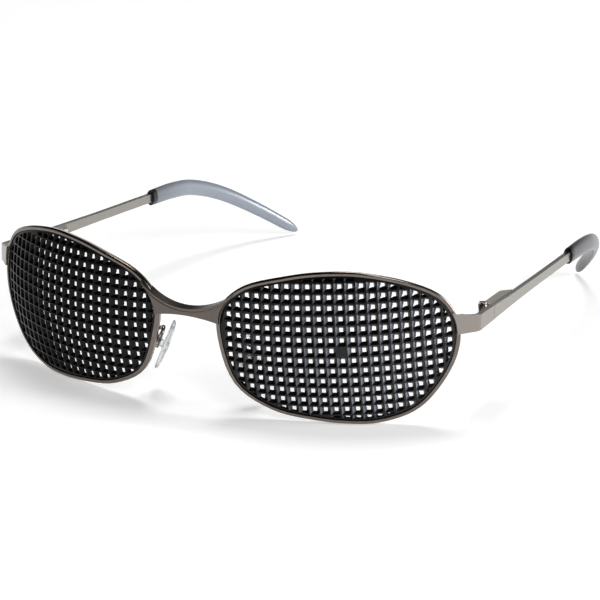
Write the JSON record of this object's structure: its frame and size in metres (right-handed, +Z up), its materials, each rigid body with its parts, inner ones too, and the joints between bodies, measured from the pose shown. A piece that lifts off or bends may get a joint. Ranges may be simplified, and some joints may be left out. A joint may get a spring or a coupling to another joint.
{
  "type": "pinhole glasses",
  "caption": "Full-rim metal glasses with black pinhole grilles for lenses, sprung folding temples, soft curved tips and clear nose pads.",
  "frame": {"origin": "middle of the bounding box, at the surface that the rims and tips rest on", "axes": "+Z up, -Y is the front that faces away from the wearer, +X is the side of the right nodes, seen from the front"},
  "size_m": [0.1334, 0.146, 0.0383],
  "materials": {
    "frame": "gunmetal plating, polished",
    "temple_metal": "gunmetal plating, satin outer face",
    "grille": "moulded, low gloss",
    "screw": "polished",
    "spring": "drawn spring wire",
    "tip": "semi-gloss sleeve",
    "pad": "clear, slightly milky"
  },
  "bodies": {
    "front": {"bridge": "frame", "right_rim": "frame", "right_lens": "grille", "right_lock_block": "frame", "right_lock_screw": "screw", "right_end_piece": "temple_metal", "right_hinge_fork": "frame", "right_hinge_screw": "screw", "right_pad_arm": "frame", "right_pad_screw": "screw", "left_rim": "frame", "left_lens": "grille", "left_lock_block": "frame", "left_lock_screw": "screw", "left_end_piece": "temple_metal", "left_hinge_fork": "frame", "left_hinge_screw": "screw", "left_pad_arm": "frame", "left_pad_screw": "screw"},
    "right_slider": {"right_spring_slider": "frame"},
    "right_temple": {"right_temple": "temple_metal", "right_temple_tip": "tip", "right_spring_box": "frame", "right_guide_bush": "screw", "right_coil_spring": "spring"},
    "right_pad": {"right_nose_pad": "pad"},
    "left_slider": {"left_spring_slider": "frame"},
    "left_temple": {"left_temple": "temple_metal", "left_temple_tip": "tip", "left_spring_box": "frame", "left_guide_bush": "screw", "left_coil_spring": "spring"},
    "left_pad": {"left_nose_pad": "pad"}
  },
  "joints": [
    {"name": "right_temple_fold", "type": "hinge", "parent": "front", "child": "right_slider", "pos_m": [0.0632, -0.03923, 0.02456], "axis": [0, 0.0419, 0.9991], "range_deg": [0, 88]},
    {"name": "right_spring_travel", "type": "slide", "parent": "right_slider", "child": "right_temple", "axis": [-0.0645, 0.997, -0.0418], "range_m": [0, 0.0008], "stiffness_N_per_m": 2500, "springref_m": -0.001, "deforming": ["right_coil_spring"]},
    {"name": "right_pad_rock", "type": "hinge", "parent": "front", "child": "right_pad", "pos_m": [0.01359, -0.06309, 0.01277], "axis": [0.2951, 0.9295, 0.2211], "range_deg": [-8, 8]},
    {"name": "left_temple_fold", "type": "hinge", "parent": "front", "child": "left_slider", "pos_m": [-0.0632, -0.03923, 0.02456], "axis": [0, -0.0419, -0.9991], "range_deg": [0, 81.5]},
    {"name": "left_spring_travel", "type": "slide", "parent": "left_slider", "child": "left_temple", "axis": [0.0645, 0.997, -0.0418], "range_m": [0, 0.0008], "stiffness_N_per_m": 2500, "springref_m": -0.001, "deforming": ["left_coil_spring"]},
    {"name": "left_pad_rock", "type": "hinge", "parent": "front", "child": "left_pad", "pos_m": [-0.01358, -0.06309, 0.01277], "axis": [0.2951, -0.9295, -0.2211], "range_deg": [-8, 8]}
  ]
}
